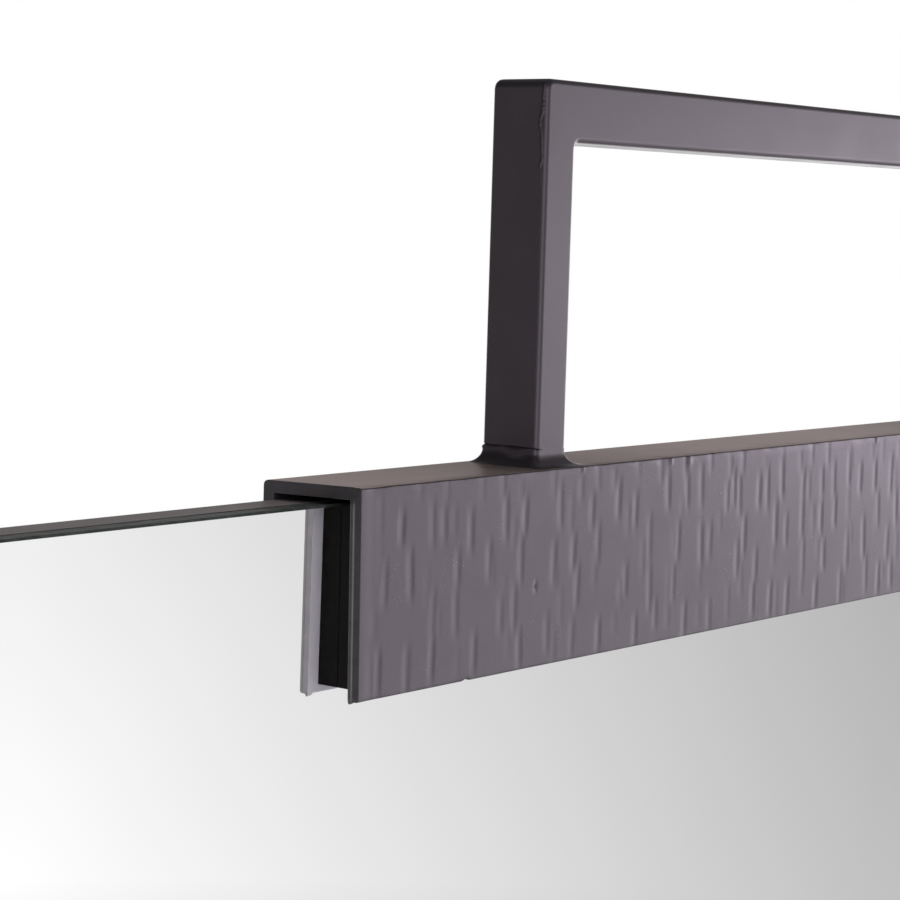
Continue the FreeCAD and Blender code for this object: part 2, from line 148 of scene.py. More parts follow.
def drawn_aluminium():
    """Mill-finish aluminium with the die's lines along its length."""
    material = new_material("drawn_aluminium")
    lines = grain(material, 0.4 * MM, stretch=(400, 1, 1), detail=6)
    cloud = grain(material, 25 * MM)
    set_surface(
        material,
        Base_Color=two_tone(material, cloud, (0.56, 0.57, 0.59), (0.66, 0.67, 0.68)),
        Metallic=1.0,
        Roughness=between(material, lines, 0.28, 0.46),
        Normal=relief(material, lines, 0.03 * MM),
    )
    return material


def rounded_copy(node, edge_radius, sharp_angle=math.radians(25)):
    """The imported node's shape, its triangles merged into whole faces and its sharp edges eased."""
    shape = bmesh.new()
    shape.from_mesh(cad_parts[node].data)
    bmesh.ops.remove_doubles(shape, verts=shape.verts, dist=0.001 * MM)
    bmesh.ops.dissolve_limit(
        shape, angle_limit=math.radians(0.5), verts=shape.verts, edges=shape.edges
    )
    sharp = [edge for edge in shape.edges if edge.calc_face_angle(0) > sharp_angle]
    bmesh.ops.bevel(
        shape,
        geom=sharp,
        offset=edge_radius,
        offset_type="OFFSET",
        segments=2,
        profile=0.5,
        affect="EDGES",
        material=-1,
        clamp_overlap=True,
    )
    return shape


def set_down(shape, name, materials, smooth_angle=math.radians(40)):
    """Turn a modelled shape into a piece that lies where it was modelled."""
    bmesh.ops.recalc_face_normals(shape, faces=shape.faces)
    mesh = bpy.data.meshes.new(name)
    shape.to_mesh(mesh)
    shape.free()
    for material in materials:
        mesh.materials.append(material)
    mesh.shade_smooth()
    mesh.set_sharp_from_angle(angle=smooth_angle)
    piece = bpy.data.objects.new(name, mesh)
    bpy.context.scene.collection.objects.link(piece)
    flats = piece.modifiers.new("flats", "WEIGHTED_NORMAL")
    flats.keep_sharp = True
    return piece


def fit(piece, body, slot, *nodes):
    """Hang a piece on its body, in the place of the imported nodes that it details."""
    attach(piece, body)
    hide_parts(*nodes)


cleat_metal = drawn_aluminium()
wall_section = set_down(rounded_copy("wall_cleat", 0.3 * MM), "wall_cleat_section", [cleat_metal])
fit(wall_section, "wall_side", "aluminium", "wall_cleat")

# ---------------------------------------------------------------------------------------
# The backing board: fibreboard as large as the glass, its faces rolled and its sawn edges
# sprayed with a dark satin paint. The pilot holes for the screws are drilled in its back.


def board_paint():
    """Dark brown-black paint over fibreboard, with roller stipple and a little dust."""
    material = new_material("board_paint")
    stipple = grain(material, 1.1 * MM, detail=3)
    dust = grain(material, 14 * MM, detail=6)
    fibre = grain(material, 0.35 * MM, stretch=(6, 1, 1))
    set_surface(
        material,
        Base_Color=two_tone(material, dust, (0.06, 0.051, 0.053), (0.086, 0.075, 0.077)),
        Roughness=between(material, dust, 0.5, 0.66),
        Normal=relief(material, fibre, 0.05 * MM, relief(material, stipple, 0.06 * MM)),
    )
    return material


board = set_down(rounded_copy("backing_board", 0.35 * MM), "painted_board", [board_paint()])
fit(board, "mirror", "backing_board", "backing_board")

# ---------------------------------------------------------------------------------------
# The bond: three strips of dark foam tape, pressed between the board and the glass.
# The foam's open cells show on its cut edges.


def foam():
    """Charcoal foam with open cells."""
    material = new_material("foam_tape")
    place = object_place(material)
    cells = add_node(material, "ShaderNodeTexVoronoi", {"Vector": place, "Scale": 1 / (0.35 * MM)})
    walls = cells.outputs["Distance"]
    set_surface(
        material,
        Base_Color=two_tone(material, walls, (0.02, 0.02, 0.021), (0.06, 0.06, 0.062)),
        Roughness=between(material, walls, 0.7, 0.9),
        Normal=relief(material, walls, 0.1 * MM),
    )
    return material


tape_foam = foam()
for side in ("left", "centre", "right"):
    tape = set_down(rounded_copy(f"bond_tape_{side}", 0.12 * MM), f"foam_tape_{side}", [tape_foam])
    fit(tape, "mirror", "bond_tape", f"bond_tape_{side}")

# ---------------------------------------------------------------------------------------
# The mirror: float glass, silvered and painted on its back, with a flat ground edge and a
# narrow arris all round. The ground edge is grey green, and the silver shows no frame.


def silver():
    """The polished face of the mirror, very slightly uneven as float glass is."""
    material = new_material("silvered_face")
    sheet = grain(material, 180 * MM, detail=1)
    film = grain(material, 60 * MM, detail=5)
    set_surface(
        material,
        Base_Color=two_tone(material, film, (0.975, 0.98, 0.975), (0.99, 0.992, 0.988)),
        Metallic=1.0,
        Roughness=between(material, film, 0.004, 0.014),
        Normal=relief(material, sheet, 0.004 * MM),
    )
    return material


def ground_edge():
    """Glass left matt by the grinding wheel, with fine scratches along the edge."""
    material = new_material("ground_edge")
    wheel = grain(material, 0.3 * MM, stretch=(25, 1, 25))
    chips = grain(material, 3 * MM, detail=6)
    set_surface(
        material,
        Base_Color=two_tone(material, chips, (0.016, 0.02, 0.019), (0.04, 0.046, 0.044)),
        Roughness=between(material, wheel, 0.45, 0.65),
        IOR=1.52,
        Specular_IOR_Level=0.14,
        Normal=relief(material, wheel, 0.03 * MM),
    )
    return material


def backing_paint():
    """The grey protective paint on the silver's back."""
    material = new_material("backing_paint")
    curtain = grain(material, 2 * MM, stretch=(1, 1, 30))
    set_surface(
        material,
        Base_Color=two_tone(material, curtain, (0.11, 0.125, 0.13), (0.14, 0.155, 0.16)),
        Roughness=between(material, curtain, 0.4, 0.55),
        Normal=relief(material, curtain, 0.02 * MM),
    )
    return material


def make_glass():
    """A slab with flat ground arrises, each of its faces in its own finish."""
    low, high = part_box("mirror_glass")
    size = high - low
    slab = bmesh.new()
    bmesh.ops.create_cube(slab, size=1.0)
    bmesh.ops.scale(slab, vec=size, verts=slab.verts)
    bmesh.ops.translate(slab, vec=(low + high) / 2, verts=slab.verts)
    arris = 0.8 * MM
    bmesh.ops.bevel(
        slab,
        geom=slab.edges,
        offset=arris,
        offset_type="WIDTH",
        segments=1,
        profile=0.5,
        affect="EDGES",
        material=-1,
        clamp_overlap=True,
    )
    bmesh.ops.recalc_face_normals(slab, faces=slab.faces)
    silvered, ground, painted = 0, 1, 2
    for face in slab.faces:
        face.material_index = ground
        if face.normal.y < -0.99:
            face.material_index = silvered
        elif face.normal.y > 0.99:
            face.material_index = painted
    return slab


glass = set_down(make_glass(), "mirror_sheet", [silver(), ground_edge(), backing_paint()], math.radians(20))
fit(glass, "mirror", "mirror", "mirror_glass")

# ---------------------------------------------------------------------------------------
# The mirror cleat: the same kind of aluminium section, upside down, on the board's back.
# Its lip drops into the wall cleat's seat. Six screws hold it.

mirror_section = set_down(rounded_copy("mirror_cleat", 0.3 * MM), "mirror_cleat_section", [cleat_metal])
fit(mirror_section, "mirror", "aluminium", "mirror_cleat")

# ---------------------------------------------------------------------------------------
# The screws: zinc-plated pan heads with a cross recess, for the cleat, the bumpers and
# the channel. All are the same screw.


def zinc():
    """Bright zinc plating with a faint cloudy passivation."""
    material = new_material("zinc_plate")
    cloud = grain(material, 1.5 * MM, detail=5)
    set_surface(
        material,
        Base_Color=two_tone(material, cloud, (0.52, 0.53, 0.56), (0.68, 0.68, 0.66)),
        Metallic=1.0,
        Roughness=between(material, cloud, 0.22, 0.4),
        Normal=relief(material, cloud, 0.02 * MM),
    )
    return material


plating = zinc()
SCREWS = {"cleat_screw": 6, "bumper_screw": 2, "channel_screw": 4}
for group, count in SCREWS.items():
    for number in range(1, count + 1):
        node = f"{group}_{number}"
        screw = set_down(rounded_copy(node, 0.12 * MM), f"zinc_{node}", [plating])
        fit(screw, "mirror", "screw_steel", node)

# ---------------------------------------------------------------------------------------
# The bumpers: turned rubber buttons at the foot of the board, each with a deep recess that
# hides its screw. They keep the foot of the mirror off the wall.


def moulded_rubber(name, tone):
    """Dull rubber with a fine moulded texture and a trace of chalk."""
    material = new_material(name)
    fine = grain(material, 0.3 * MM, detail=2)
    chalk = grain(material, 5 * MM, detail=6)
    pale = [1.7 * part for part in tone]
    set_surface(
        material,
        Base_Color=two_tone(material, chalk, tone, pale),
        Roughness=between(material, chalk, 0.6, 0.8),
        Normal=relief(material, fine, 0.04 * MM),
    )
    return material


def turn_bumper(node):
    """A half section of the button, spun round its screw's line."""
    low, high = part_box(node)
    middle = (low + high) / 2
    radius = (high.x - low.x) / 2
    half_section = (
        (1.8 * MM, low.y),
        (radius - 0.4 * MM, low.y),
        (radius, low.y + 0.5 * MM),
        (radius - 0.3 * MM, low.y + 3 * MM),
        (radius - 1.4 * MM, high.y - 1.2 * MM),
        (radius - 1.9 * MM, high.y - 0.3 * MM),
        (radius - 2.8 * MM, high.y),
        (5.2 * MM, high.y),
        (4.6 * MM, high.y - 0.5 * MM),
        (4.5 * MM, low.y + 4 * MM),
        (1.8 * MM, low.y + 4 * MM),
    )
    button = bmesh.new()
    points = [button.verts.new((middle.x + out, y, middle.z)) for out, y in half_section]
    for start, end in zip(points, points[1:] + points[:1]):
        button.edges.new((start, end))
    bmesh.ops.spin(
        button,
        geom=button.verts[:] + button.edges[:],
        cent=middle,
        axis=(0, 1, 0),
        angle=2 * math.pi,
        steps=64,
        use_merge=True,
    )
    return button


bumper_rubber = moulded_rubber("bumper_rubber", (0.02, 0.02, 0.021))
for side in ("left", "right"):
    button = set_down(turn_bumper(f"bumper_{side}"), f"rubber_button_{side}", [bumper_rubber])
    fit(button, "mirror", "bumper_rubber", f"bumper_{side}")

# ---------------------------------------------------------------------------------------
# The setting pads: two slips of rubber on the sheet's top edge. The channel sits on them,
# so that its weight and the hoop's stay off the glass.

slip_rubber = moulded_rubber("slip_rubber", (0.012, 0.012, 0.012))
for side in ("left", "right"):
    slip = set_down(rounded_copy(f"setting_pad_{side}", 0.2 * MM), f"rubber_slip_{side}", [slip_rubber])
    fit(slip, "mirror", "setting_rubber", f"setting_pad_{side}")

# ---------------------------------------------------------------------------------------
# The header channel: one iron plate bent to an inverted U over the top of glass and board.
# Its front was struck all over with a narrow chisel while flat, in four rows of upright
# dents that run into each other and off the edges. Then it was sprayed a satin grey brown.


def calculate(material, operation, *numbers):
    """The result of a sum on numbers or on other nodes' outputs."""
    inputs = dict(enumerate(numbers))
    return add_node(material, "ShaderNodeMath", inputs, operation=operation).outputs["Value"]


def mix_colours(material, factor, first, second):
    """The first colour where the factor is 0 and the second where it is 1."""
    inputs = {"Factor": factor, "A": first, "B": second}
    return add_node(material, "ShaderNodeMix", inputs, data_type="RGBA").outputs["Result"]


def dim(material, colour, share):
    """A colour brought down, or up, to a share of itself."""
    inputs = {0: colour, "Scale": share}
    return add_node(material, "ShaderNodeVectorMath", inputs, operation="SCALE").outputs["Vector"]


def iron_paint(name, first, second, orange_peel, gloss, dust=0.0, bend=1.0):
    """Satin gunmetal paint over iron: soft clouds, fine orange peel and specks caught in it.

    Over an upper bend its colour falls to the given share: painted shade, standing in for the dark reflection
    along the bend.
    """
    material = new_material(name)
    cloud = grain(material, 12 * MM, detail=8, roughness=0.65)
    peel = grain(material, 0.9 * MM, detail=2)
    fine = grain(material, 0.22 * MM, detail=3)
    scatter = add_node(
        material,
        "ShaderNodeTexVoronoi",
        {"Vector": object_place(material), "Scale": 1 / (0.9 * MM), "Randomness": 1.0},
    )
    patches = grain(material, 9 * MM, detail=4)
    dot = between(material, scatter.outputs["Distance"], 1.0, 0.0, 0.08, 0.26)
    where = between(material, patches, 0.0, 1.0, 0.62 - dust, 0.76 - dust)
    speck = calculate(material, "MULTIPLY", dot, where)
    tone = two_tone(material, cloud, first, second)
    pale = [1.35 * part for part in second]
    specked = mix_colours(material, speck, tone, (*pale, 1))
    # Faces turned upwards, as on the upper bends, are darkened: painted shade for the dark reflection along
    # the bend.
    facing = add_node(material, "ShaderNodeNewGeometry", {}).outputs["Normal"]
    upward = add_node(material, "ShaderNodeSeparateXYZ", {"Vector": facing}).outputs["Z"]
    bend_shaded = dim(material, specked, between(material, upward, 1.0, bend, 0.12, 0.45))
    skin = relief(material, peel, orange_peel)
    tooth = relief(material, fine, 0.004 * MM, skin)
    set_surface(
        material,
        Base_Color=bend_shaded,
        Metallic=0.85,
        Roughness=between(material, cloud, gloss - 0.05, gloss + 0.06),
        Normal=relief(material, speck, 0.06 * MM, tooth),
    )
    return material


def rubbed_top_lit_paint():
    """The channel's top: a paler, browner copy of the paint as painted warm light from above, rubbed aslant,
    darker near the welds and lighter away from them.
    """
    material = new_material("rubbed_top_lit_iron_paint")
    cloud = grain(material, 9 * MM, detail=5)
    aslant = (0, 0, math.radians(-24))
    rubs = grain(material, 3.2 * MM, detail=5, stretch=(9, 1, 3), turn=aslant, roughness=0.6)
    peel = grain(material, 0.9 * MM, detail=2)
    # A paler, browner copy of the front's paint: painted warm light from above. The aslant rubs mixed in
    # below are real wear.
    top_lit_tone = two_tone(material, cloud, (0.225, 0.19, 0.186), (0.265, 0.224, 0.22))
    worn = between(material, rubs, 0.0, 0.5, 0.38, 0.62)
    rubbed_top_lit = mix_colours(material, worn, top_lit_tone, (0.35, 0.298, 0.294, 1))
    along = add_node(material, "ShaderNodeSeparateXYZ", {"Vector": object_place(material)}).outputs["X"]
    # Darker near each post's weld and lighter away from it. Near the weld this is partly weld smoke and
    # partly painted shade and reflection of the hoop; further off it is painted light.
    post_low, post_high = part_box("hoop_right_post")
    past_post = calculate(
        material, "SUBTRACT", calculate(material, "ABSOLUTE", along), (post_low.x + post_high.x) / 2
    )
    from_post = calculate(material, "ABSOLUTE", past_post)
    smoke_and_painted_shade = between(material, from_post, 0.66, 1.08, 14 * MM, 82 * MM)
    set_surface(
        material,
        Base_Color=dim(material, rubbed_top_lit, smoke_and_painted_shade),
        Metallic=0.7,
        Specular_Tint=(0.95, 0.82, 0.81, 1),
        Roughness=between(material, rubs, 0.45, 0.54),
        Normal=relief(material, rubs, 0.06 * MM, relief(material, peel, 0.03 * MM)),
    )
    return material


def inner_face_painted_light():
    """Pale lavender-grey on the front plate's inner face, far paler than the paint: painted light, standing
    in for the light that reaches that face between the plate and the glass.
    """
    material = new_material("inner_face_painted_light")
    cloud = grain(material, 12 * MM, detail=5)
    spray = grain(material, 0.5 * MM, detail=3)
    set_surface(
        material,
        Base_Color=two_tone(material, cloud, (0.66, 0.62, 0.7), (0.73, 0.69, 0.77)),
        Roughness=between(material, spray, 0.55, 0.7),
        Normal=relief(material, spray, 0.03 * MM),
    )
    return material


def sheared_end():
    """The iron's sheared ends: a thin wash of paint over bare metal, drawn out by the blade."""
    material = new_material("sheared_end")
    drag = grain(material, 1.2 * MM, stretch=(1, 6, 1), detail=3)
    cloud = grain(material, 4 * MM, detail=5)
    set_surface(
        material,
        Base_Color=two_tone(material, cloud, (0.27, 0.25, 0.275), (0.32, 0.3, 0.325)),
        Metallic=0.95,
        Roughness=between(material, drag, 0.2, 0.26),
        Normal=relief(material, drag, 0.01 * MM),
    )
    return material


PLATE = 3 * MM
FLARE = 0.55 * MM
SKEW = 4.5 * MM
BLOW_HALF_WIDTH = 1.6 * MM
BLOW_DEPTH = 0.2 * MM
LEFT_FLANK, RIGHT_FLANK = 0.6, 1.8
PIT_ALONG, PIT_HEIGHT = 68.4 * MM, 20.9 * MM
NICK_ALONG = 41 * MM
# The rows of blows: height of the row's middle above the plate's foot, and how far along
# from the left end each blow was struck, in millimetres. Past the last one they go on evenly.
ROWS = (
    (39.0, (15.5, 27, 31.5, 42, 56, 64, 79, 93, 105, 113, 128.5, 138, 145, 158.5, 162, 165, 175.5, 180,
            188, 200, 211, 218, 227, 234, 243)),
    (27.0, (9.5, 19, 37, 49.5, 62.5, 76.5, 85, 96, 120, 134, 145.5, 150, 168, 185, 191, 200, 211, 219,
            245.5)),
    (17.0, (27.5, 36.5, 54.5, 60, 87, 109, 120.5, 132, 164.5, 174.5, 201, 213, 227, 237, 252)),
    (6.0, (7.5, 18, 27.5, 44, 62.5, 74, 85, 97, 114, 123.5, 138, 150.5, 173.5, 183, 192.5, 209, 223.5,
           239, 247)),
)

# Runs of paint under the front bend: how far along, how far down and how wide, in millimetres.
PAINT_DRIPS = ((88, 0.9, 0.8), (129, 1.2, 1.1), (138, 1.8, 1.8), (243, 1.2, 1.1))


def strike_plan(length, seed=11):
    """All the blows: place along the plate, height above its foot, half length, lean and depth."""
    chance = random.Random(seed)
    blows = []
    for height, row in ROWS:
        along = list(row)
        while along[-1] < length - 14:
            along.append(along[-1] + chance.uniform(7, 14))
        for place in along:
            blows.append(
                (
                    place * MM,
                    (height + chance.uniform(-2.2, 2.2)) * MM,
                    chance.uniform(5.2, 8.0) * MM,
                    chance.uniform(-0.04, 0.04),
                    chance.uniform(0.75, 1.1),
                )
            )
        along = chance.uniform(2, 9)
        while along < length:
            light = (chance.uniform(3.5, 6.5) * MM, chance.uniform(-0.03, 0.03), chance.uniform(0.25, 0.5))
            blows.append((along * MM, (height + chance.uniform(-5, 5)) * MM, *light))
            along += chance.uniform(14, 30)
    along = 22.0
    while along < length:
        near_bend = (chance.uniform(3.0, 5.0) * MM, chance.uniform(-0.03, 0.03), chance.uniform(0.25, 0.7))
        blows.append((along * MM, chance.uniform(44, 48) * MM, *near_bend))
        along += chance.uniform(6, 14)
    return blows


def fade(values, start, end):
    """Smooth steps from 0 at the start to 1 at the end."""
    ramp = numpy.clip((values - start) / (end - start), 0, 1)
    return ramp * ramp * (3 - 2 * ramp)


def sink_blows(along, up, length):
    """How deep the chisel sank at each place. Each groove is steep on its right and shallow on its left."""
    sunk = numpy.zeros(len(along))
    for place, middle, half_length, slant, force in strike_plan(length / MM):
        lengthwise = (up - middle) / half_length
        across = (along - place - slant * (up - middle)) / BLOW_HALF_WIDTH
        steepness = numpy.where(across > 0, RIGHT_FLANK, LEFT_FLANK)
        groove = numpy.clip(1 - (across * steepness) ** 2, 0, 1) ** 2
        ends = 1 - fade(numpy.abs(lengthwise), 0.45, 1.1)
        sunk = numpy.maximum(sunk, BLOW_DEPTH * force * groove * ends)
    return sunk


def run_paint(along, up, height):
    """How far the paint's runs stand out below the front bend."""
    drips = numpy.zeros(len(along))
    for place, fall, wide in PAINT_DRIPS:
        away = numpy.hypot((along - place * MM) / (wide * MM), (height - fall * MM - up) / (1.5 * wide * MM))
        drips = numpy.maximum(drips, 0.25 * MM * (1 - fade(away, 0.25, 1.0)))
    return drips


def hammer(channel, left, right, foot, top, front_at_top, lean):
    """Push the front plate's skin inwards where the blows fell, and leave its small faults."""
    places = numpy.array([vertex.co for vertex in channel.verts])
    along, out, up = places[:, 0] - left, places[:, 1], places[:, 2] - foot
    skin = front_at_top - lean * (top - foot - up) / (top - foot)
    behind_skin = out - skin
    length, height = right - left, top - foot
    edge_wave = numpy.array([noise.noise(Vector((x / 0.006, 3.7, 0))) for x in places[:, 0]])

    from_end = numpy.minimum(along, length - along)
    rim = 0.15 * MM * fade(from_end, 0.8 * MM, 5 * MM)
    rolling = numpy.array([noise.noise(Vector((x / 0.013, 0, z / 0.021))) for x, _, z in places])
    near_top = fade(up, height - 2.5 * MM, height)
    near_foot = 1 - fade(up, 0, 2.0 * MM)
    uneven = 0.04 * MM * (1 + rolling) + 0.2 * MM * (0.5 + edge_wave) * (near_top + 0.6 * near_foot)
    from_pit = numpy.hypot(along - PIT_ALONG, up - PIT_HEIGHT)
    pit = 0.5 * MM * (1 - fade(from_pit, 0.3 * MM, 1.0 * MM))
    share = 1 - fade(behind_skin, 0.1 * MM, 1.2 * MM)
    sunk, drips = sink_blows(along, up, length), run_paint(along, up, height)
    inward = share * (sunk + rim + numpy.clip(uneven, 0, 1) + pit - drips)

    bend = 0.25 * MM * fade(up, height - 0.8 * MM, height) * (1 - fade(behind_skin, 0.5 * MM, 3 * MM))
    bend = bend * (0.4 + 0.6 * numpy.clip(edge_wave + 0.3, 0, 1))
    from_nick = numpy.abs(along - NICK_ALONG)
    at_foot = 1 - fade(up, 0.6 * MM, 1.6 * MM)
    nick = 0.4 * MM * (1 - fade(from_nick, 0.4 * MM, 1.4 * MM)) * at_foot
    inner_corner = fade(behind_skin, 1.9 * MM, 2.6 * MM) * (1 - fade(behind_skin, 3.8 * MM, 4.5 * MM))
    burr = 0.6 * MM * (1 - fade(along, 0.8 * MM, 1.8 * MM)) * (1 - fade(up, 0, 0.9 * MM)) * inner_corner
    downward = bend - nick + burr

    for vertex, back, down in zip(channel.verts, inward, downward):
        vertex.co.y += back
        vertex.co.z -= down


def round_off(shape, places, radius, segments):
    """Round the corners that stand at these places on a flat outline."""
    corners = [min(shape.verts, key=lambda vertex: (vertex.co - place).length) for place in places]
    bmesh.ops.bevel(
        shape,
        geom=corners,
        offset=radius,
        offset_type="OFFSET",
        segments=segments,
        profile=0.5,
        affect="VERTICES",
        material=-1,
        clamp_overlap=True,
    )


def skew_ends(channel, low, high, skin):
    """Draw the ends in towards the front, and leave the shear's ridge along the front plate's ends."""
    half = high.x
    for vertex in channel.verts:
        towards_front = (high.y - vertex.co.y) / (high.y - low.y)
        near_end = max(0, 1 - (half - abs(vertex.co.x)) / (40 * MM))
        lean = FLARE * (high.z - vertex.co.z) / (high.z - low.z)
        across = (vertex.co.y - skin + lean) / PLATE
        ridge = 0.14 * MM if abs(across - 0.5) < 0.05 and abs(vertex.co.x) > half - 0.05 * MM else 0
        outward = 1 if vertex.co.x > 0 else -1
        vertex.co.x += outward * (ridge - SKEW * towards_front * near_end)


def bend_channel():
    """The plate's section with rounded bends, extruded, eased at its ends and hammered."""
    low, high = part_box("header_channel")
    front = low.y + FLARE
    leg_foot = high.z - 46 * MM
    under = high.z - PLATE
    inner_front, inner_back = front + PLATE, high.y - PLATE
    channel = bmesh.new()

    def corner(y, z):
        return channel.verts.new((low.x, y, z))

    foot_front, foot_back = corner(low.y, low.z), corner(low.y + PLATE, low.z)
    bend_front, bend_back = corner(front, under), corner(high.y, under)
    inside_front, inside_back = corner(inner_front, under), corner(inner_back, under)
    crown_front, crown_back = corner(inner_front, high.z), corner(inner_back, high.z)
    top_front, top_back = corner(front, high.z), corner(high.y, high.z)
    leg_front, leg_back = corner(inner_back, leg_foot), corner(high.y, leg_foot)
    front_plate = channel.faces.new((foot_front, bend_front, inside_front, foot_back))
    channel.faces.new((bend_front, top_front, crown_front, inside_front))
    channel.faces.new((crown_front, crown_back, inside_back, inside_front))
    channel.faces.new((crown_back, top_back, bend_back, inside_back))
    channel.faces.new((inside_back, bend_back, leg_back, leg_front))
    upright = [edge for edge in front_plate.edges if edge.calc_length() > 40 * MM]
    bmesh.ops.subdivide_edges(channel, edges=upright, cuts=40, use_grid_fill=True)
    across = [
        edge
        for edge in channel.edges
        if edge.calc_length() > 0.9 * PLATE and max(v.co.y for v in edge.verts) < inner_front + 0.01 * MM
        and min(v.co.y for v in edge.verts) < front + 0.01 * MM
    ]
    bmesh.ops.subdivide_edges(channel, edges=across, cuts=5, use_grid_fill=True)
    crown = [edge for edge in channel.edges if edge.calc_length() > 15 * MM]
    bmesh.ops.subdivide_edges(channel, edges=crown, cuts=7, use_grid_fill=True)
    round_off(channel, [Vector((low.x, high.y, high.z))], 1.2 * MM, 4)
    round_off(channel, [Vector((low.x, front, high.z))], 1.2 * MM, 4)
    feet = ((low.y, low.z), (low.y + PLATE, low.z), (inner_back, leg_foot), (high.y, leg_foot))
    round_off(channel, [Vector((low.x, y, z)) for y, z in feet], 0.5 * MM, 2)
    pulled = bmesh.ops.extrude_face_region(channel, geom=channel.faces[:])
    moved = [item for item in pulled["geom"] if isinstance(item, bmesh.types.BMVert)]
    bmesh.ops.translate(channel, verts=moved, vec=(high.x - low.x, 0, 0))
    bmesh.ops.recalc_face_normals(channel, faces=channel.faces)
    ends = [face for face in channel.faces if abs(face.normal.x) > 0.9]
    outline = [edge for edge in {edge for face in ends for edge in face.edges} if edge.calc_face_angle(0) > 1]
    skin = [edge for edge in outline if max(v.co.y for v in edge.verts) < front + 0.01 * MM]
    rest = [edge for edge in outline if edge not in skin]
    for edges, radius, steps in ((skin, 1.1 * MM, 4), (rest, 0.35 * MM, 2)):
        bmesh.ops.bevel(
            channel,
            geom=[edge for edge in edges if edge.is_valid],
            offset=radius,
            offset_type="OFFSET",
            segments=steps,
            profile=0.5,
            affect="EDGES",
            material=-1,
            clamp_overlap=True,
        )
    length = high.x - low.x
    long_edges = [edge for edge in channel.edges if edge.calc_length() > 0.9 * length]
    bmesh.ops.subdivide_edges(channel, edges=long_edges, cuts=699, use_grid_fill=True)
    skew_ends(channel, low, high, front)
    hammer(channel, low.x + SKEW, high.x - SKEW, low.z, high.z, front, FLARE)
    bmesh.ops.recalc_face_normals(channel, faces=channel.faces)
    painted, rubbed_top_lit, painted_light_inner, sheared = 0, 1, 2, 3
    middle = (low.y + high.y) / 2
    for face in channel.faces:
        centre = face.calc_center_median()
        face.material_index = painted
        # Top faces take the rubbed copy whose paler, browner tone is painted top light.
        if face.normal.z > 0.8 and centre.z > high.z - MM:
            face.material_index = rubbed_top_lit
        # The front plate's inner face is made pale as painted light.
        elif face.normal.y > 0.8 and centre.y < middle:
            face.material_index = painted_light_inner
        elif abs(face.normal.x) > 0.9:
            face.material_index = sheared
    return channel


# bend=0.5 darkens the front plate's upper bend to half its colour: painted shade.
hammered_paint = iron_paint(
    "hammered_iron_paint", (0.178, 0.154, 0.182), (0.206, 0.178, 0.211), 0.02 * MM, 0.38, dust=0.07, bend=0.5
)
channel_finishes = [hammered_paint, rubbed_top_lit_paint(), inner_face_painted_light(), sheared_end()]
header = set_down(bend_channel(), "hammered_channel", channel_finishes)
fit(header, "mirror", "hammered_iron", "header_channel")

# ---------------------------------------------------------------------------------------
# The front pad: a strip of black wool felt glued inside the channel's front plate.
# It keeps the iron off the glass.


def wool_felt():
    """Black felt: matted fibres and soft fuzz."""
    material = new_material("wool_felt")
    fibres = grain(material, 0.25 * MM, stretch=(4, 1, 2), detail=8)
    tufts = grain(material, 2.5 * MM, detail=4)
    set_surface(
        material,
        Base_Color=two_tone(material, fibres, (0.002, 0.0018, 0.0016), (0.006, 0.0052, 0.0047)),
        Roughness=between(material, tufts, 0.85, 0.98),
        Specular_IOR_Level=0.06,
        Sheen_Weight=0.06,
        Sheen_Roughness=0.6,
        Normal=relief(material, fibres, 0.12 * MM),
    )
    return material


felt = set_down(rounded_copy("front_pad", 0.2 * MM), "felt_strip", [wool_felt()])
fit(felt, "mirror", "felt", "front_pad")

# ---------------------------------------------------------------------------------------
# The hoop: flat iron bar, mitred and welded at its top corners and ground smooth, then
# fillet-welded on the channel. Paint softens its edges and the welds flare into the plate.

HOOP_EDGE = 2.2 * MM


def foot_ring(hoop, ring, centre, half, reach, rise, steps):
    """Flare one post's foot: its edge loop is drawn down and out in steps along a hollow curve.

    The weld is fuller on the hoop's inner side. On the outer side it starts as a small bead.
    """
    outer_side = math.copysign(1, centre.x)
    loop = ring
    starts = {vert: vert.co.copy() for edge in ring for vert in edge.verts}
    top = ring[0].verts[0].co.z
    profile = [(0.0, 0.05, -0.6), (0.0, 0.1, 0.9), (0.03, 0.2, 1.15)]
    for step in range(1, steps + 1):
        turn = step / steps * math.pi / 2
        profile.append((1 - math.cos(turn), 0.2 + 0.8 * math.sin(turn), 1.15 * math.cos(turn)))
    for spread, fall, bead in profile:
        grown = bmesh.ops.extrude_edge_only(hoop, edges=loop)["geom"]
        loop = [item for item in grown if isinstance(item, bmesh.types.BMEdge)]
        following = {}
        for vert in [item for item in grown if isinstance(item, bmesh.types.BMVert)]:
            above = next(edge.other_vert(vert) for edge in vert.link_edges if edge.other_vert(vert) in starts)
            start = starts[above]
            following[vert] = start
            across = (start.x - centre.x) / half.x
            along = (start.y - centre.y) / half.y
            outward = max(0, across * outer_side) ** 3
            lumps = noise.noise(start * 220 + Vector((0, 0, fall * 1.5)))
            side = reach.x * (1 - 0.36 * outward) * (0.9 + 0.1 * lumps)
            front = reach.y * (0.9 + 0.1 * lumps)
            swell = 0.35 * MM * bead * outward * (1 + lumps)
            vert.co.x = start.x + across * (side * spread + swell)
            vert.co.y = start.y + along * (front * spread + 0.5 * swell)
            vert.co.z = top - rise * (fall + 0.03 * lumps * (1 - fall))
        starts = following
    return loop


